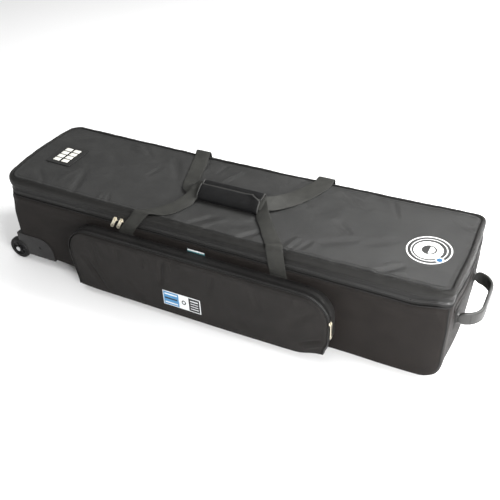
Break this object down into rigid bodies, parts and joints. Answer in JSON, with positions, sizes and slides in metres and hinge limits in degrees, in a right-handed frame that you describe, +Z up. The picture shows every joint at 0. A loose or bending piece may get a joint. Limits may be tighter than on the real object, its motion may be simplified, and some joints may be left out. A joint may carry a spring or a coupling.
{
  "type": "drum hardware case",
  "caption": "Long soft zipped case for drum stands, with a wheeled end, a tow handle, a padded webbing carry handle and a zipped front pocket.",
  "frame": {"origin": "middle of the flat underside of the case body", "axes": "+X from the wheels to the tow handle, +Y from the pocket to the back, +Z up"},
  "size_m": [1.4985, 0.4188, 0.3598],
  "materials": {
    "shell_cloth": "woven nylon, matt",
    "lid_cloth": "woven nylon, matt",
    "pocket_cloth": "woven nylon, matt",
    "piping": "folded binding",
    "foam": "foam",
    "lining": "smooth lining",
    "board": "stiff board",
    "zip_tape": "woven tape",
    "zip_coil": "nylon coil",
    "webbing": "ribbed webbing",
    "grip": "padded woven nylon",
    "strap_webbing": "webbing",
    "strap_buckle": "moulded",
    "pull_metal": "plated, pale gold",
    "moulded_rubber": "smooth moulded",
    "patch_cloth": "stitched patch",
    "housing_plastic": "satin moulded",
    "wheel_tyre": "solid tyre",
    "wheel_hub": "moulded hub",
    "fixings": "zinc plated",
    "foot_plastic": "moulded",
    "plate_plastic": "satin",
    "cell_white": "printed white",
    "emblem_print": "screen print",
    "woven_label": "woven label",
    "woven_tab": "woven label"
  },
  "bodies": {
    "case": {"axle_bolts": "fixings", "base_board": "board", "base_pad": "foam", "base_panel": "shell_cloth", "body_lining": "lining", "corner_piping": "piping", "end_band": "shell_cloth", "end_feet": "foot_plastic", "end_pads": "foam", "front_pad": "foam", "front_panel": "shell_cloth", "handle_anchors": "webbing", "hinge_strip": "zip_tape", "housing_rivets": "fixings", "inner_buckles": "strap_buckle", "inner_straps": "strap_webbing", "left_end_panel": "shell_cloth", "lower_zip_coil": "zip_coil", "lower_zip_tape": "zip_tape", "pocket_gusset": "pocket_cloth", "pocket_gusset_zip": "zip_tape", "pocket_label": "woven_label", "pocket_lower_front": "pocket_cloth", "rear_pad": "foam", "rear_panel": "shell_cloth", "right_end_panel": "shell_cloth", "tab_label": "woven_tab", "tow_patches": "patch_cloth", "wheel_housing_front": "housing_plastic", "wheel_housing_rear": "housing_plastic", "zip_welt": "piping"},
    "lid": {"lid_top_panel": "lid_cloth", "lid_side_band": "lid_cloth", "lid_pad": "foam", "lid_lining": "lining", "lid_piping": "piping", "upper_zip_tape": "zip_tape", "upper_zip_coil": "zip_coil", "id_plate": "plate_plastic", "id_cells": "cell_white", "lid_emblem": "emblem_print"},
    "front_legs": {"front_handle_legs": "webbing"},
    "front_loop": {"front_handle_loop": "webbing", "grip_wrap": "grip"},
    "rear_legs": {"rear_handle_legs": "webbing"},
    "rear_loop": {"rear_handle_loop": "webbing"},
    "left_slider": {"main_slider_left": "pull_metal"},
    "left_pull": {"main_pull_left": "pull_metal"},
    "right_slider": {"main_slider_right": "pull_metal"},
    "right_pull": {"main_pull_right": "pull_metal"},
    "pocket_flap": {"pocket_flap": "pocket_cloth", "pocket_flap_zip": "zip_tape"},
    "pocket_slider": {"pocket_slider": "pull_metal"},
    "pocket_pull": {"pocket_pull": "pull_metal"},
    "tow_handle": {"tow_handle": "moulded_rubber"},
    "front_wheel": {"tyre_front": "wheel_tyre", "hub_front": "wheel_hub"},
    "rear_wheel": {"tyre_rear": "wheel_tyre", "hub_rear": "wheel_hub"}
  },
  "joints": [
    {"name": "lid_hinge", "type": "hinge", "parent": "case", "child": "lid", "pos_m": [0, 0.178, 0.245], "axis": [-1, 0, 0], "range_deg": [0, 110]},
    {"name": "front_legs_fold", "type": "hinge", "parent": "case", "child": "front_legs", "pos_m": [0, -0.1802, 0.207], "axis": [1, 0, 0], "range_deg": [0, 96], "deforming": ["front_handle_legs"]},
    {"name": "front_loop_fold", "type": "hinge", "parent": "front_legs", "child": "front_loop", "pos_m": [0, -0.189, 0.284], "axis": [1, 0, 0], "range_deg": [0, 173], "deforming": ["front_handle_loop", "grip_wrap"]},
    {"name": "rear_legs_fold", "type": "hinge", "parent": "case", "child": "rear_legs", "pos_m": [0, 0.1802, 0.207], "axis": [-1, 0, 0], "range_deg": [0, 96], "deforming": ["rear_handle_legs"]},
    {"name": "rear_loop_fold", "type": "hinge", "parent": "rear_legs", "child": "rear_loop", "pos_m": [0, 0.189, 0.284], "axis": [-1, 0, 0], "range_deg": [0, 173], "deforming": ["rear_handle_loop"]},
    {"name": "left_slider_travel", "type": "slide", "parent": "case", "child": "left_slider", "axis": [-1, 0, 0], "range_m": [0, 0.33]},
    {"name": "left_pull_swing", "type": "hinge", "parent": "left_slider", "child": "left_pull", "pos_m": [-0.274, -0.1835, 0.2465], "axis": [-0.866, 0, 0.5], "range_deg": [0, 150]},
    {"name": "right_slider_travel", "type": "slide", "parent": "case", "child": "right_slider", "axis": [1, 0, 0], "range_m": [0, 0.78]},
    {"name": "right_pull_swing", "type": "hinge", "parent": "right_slider", "child": "right_pull", "pos_m": [-0.253, -0.1835, 0.2465], "axis": [-0.866, 0, 0.5], "range_deg": [0, 150]},
    {"name": "pocket_flap_fold", "type": "hinge", "parent": "case", "child": "pocket_flap", "pos_m": [-0.0175, -0.228, 0.118], "axis": [1, 0, 0], "range_deg": [0, 100]},
    {"name": "pocket_slider_travel", "type": "hinge", "parent": "case", "child": "pocket_slider", "pos_m": [0.32, -0.218, 0.12], "axis": [0, -1, 0], "range_deg": [0, 85]},
    {"name": "pocket_pull_swing", "type": "hinge", "parent": "pocket_slider", "child": "pocket_pull", "pos_m": [0.405, -0.218, 0.1275], "axis": [0, -1, 0], "range_deg": [0, 150]},
    {"name": "tow_handle_flex", "type": "hinge", "parent": "case", "child": "tow_handle", "pos_m": [0.71455, 0, 0.15], "axis": [0, -1, 0], "range_deg": [-60, 60], "stiffness_Nm_per_rad": 1.5},
    {"name": "front_wheel_spin", "type": "hinge", "parent": "case", "child": "front_wheel", "pos_m": [-0.707, -0.165, 0.006], "axis": [0, 1, 0], "continuous": true},
    {"name": "rear_wheel_spin", "type": "hinge", "parent": "case", "child": "rear_wheel", "pos_m": [-0.707, 0.165, 0.006], "axis": [0, 1, 0], "continuous": true}
  ],
  "couplings": [
    {"joint": "front_legs_fold", "follows": "lid_hinge", "ratio": 0.8636},
    {"joint": "front_loop_fold", "follows": "lid_hinge", "ratio": 1.5636},
    {"joint": "rear_legs_fold", "follows": "lid_hinge", "ratio": 0.8636},
    {"joint": "rear_loop_fold", "follows": "lid_hinge", "ratio": 1.5636}
  ]
}
